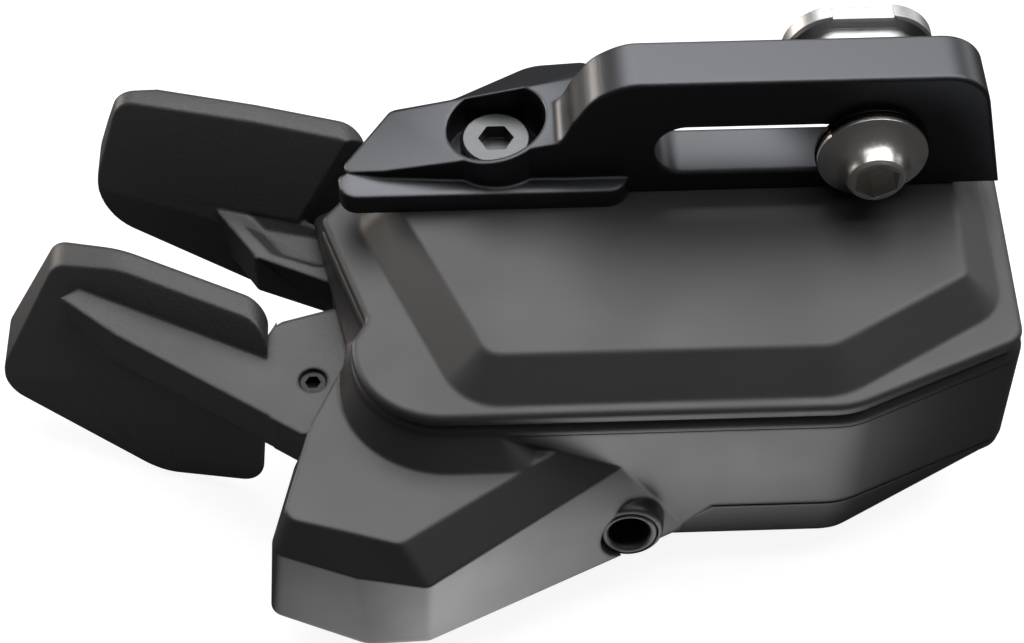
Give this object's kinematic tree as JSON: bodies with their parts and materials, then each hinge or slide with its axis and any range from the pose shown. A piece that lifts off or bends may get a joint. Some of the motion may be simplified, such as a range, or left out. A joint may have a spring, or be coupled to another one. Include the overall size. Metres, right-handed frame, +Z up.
{
  "type": "electronic shifter",
  "caption": "Wired electronic gear shifter for a handlebar: moulded switch body, raised lid, two thumb paddles, slotted metal bracket with flared clamp bolt and bright nut.",
  "frame": {"origin": "on the clamp bolt's axis, in the back face of the bracket's upright plate", "axes": "+X right along the bracket's slot, +Y away from the rider's view out of the bracket's back face, +Z up"},
  "size_m": [0.1014, 0.0545, 0.0412],
  "materials": {
    "housing_plastic": "fine satin moulding",
    "cover_plastic": "smooth satin moulding",
    "lever_plastic": "fine moulded texture",
    "dark_anodised": "black anodised, blasted",
    "black_steel": "black oxide",
    "bright_steel": "polished",
    "nut_metal": "bright, satin",
    "steel": "plain",
    "brass": "plain",
    "rubber": "matte",
    "board": "green solder mask",
    "bush_plastic": "plain"
  },
  "bodies": {
    "root": {"main_housing": "housing_plastic", "top_cover": "cover_plastic", "bottom_cover": "housing_plastic", "cover_seal": "rubber", "circuit_board": "board", "switch_upper": "black_steel", "switch_lower": "black_steel", "boot_upper": "rubber", "boot_lower": "rubber", "port_bush": "housing_plastic", "contact_pin": "brass", "axle_upper": "steel", "axle_lower": "steel", "axle_clips": "steel", "spring_upper": "steel", "spring_lower": "steel", "bracket": "dark_anodised", "bracket_screw": "black_steel", "bracket_insert": "brass", "cover_screws": "steel", "bottom_screws": "steel"},
    "upper_lever": {"upper_lever": "lever_plastic", "bush_upper": "bush_plastic"},
    "lower_lever": {"lower_paddle": "lever_plastic", "lower_carrier": "steel", "paddle_screw": "black_steel", "bush_lower": "bush_plastic"},
    "clamp": {"clamp_bolt": "bright_steel", "washer_convex": "black_steel", "washer_concave": "black_steel", "clamp_nut": "nut_metal"}
  },
  "joints": [
    {"name": "upper_pivot", "type": "hinge", "parent": "root", "child": "upper_lever", "pos_m": [-0.044, -0.0065, -0.017], "axis": [0, 0, 1], "range_deg": [0, 6], "stiffness_Nm_per_rad": 0.4, "springref_deg": -8.59, "deforming": ["spring_upper"]},
    {"name": "lower_pivot", "type": "hinge", "parent": "root", "child": "lower_lever", "pos_m": [-0.0435, -0.02, -0.017], "axis": [0, 0, 1], "range_deg": [0, 8], "stiffness_Nm_per_rad": 0.4, "springref_deg": -8.59, "deforming": ["spring_lower"]},
    {"name": "clamp_slide", "type": "slide", "parent": "root", "child": "clamp", "axis": [1, 0, 0], "range_m": [-0.016, 0]}
  ]
}
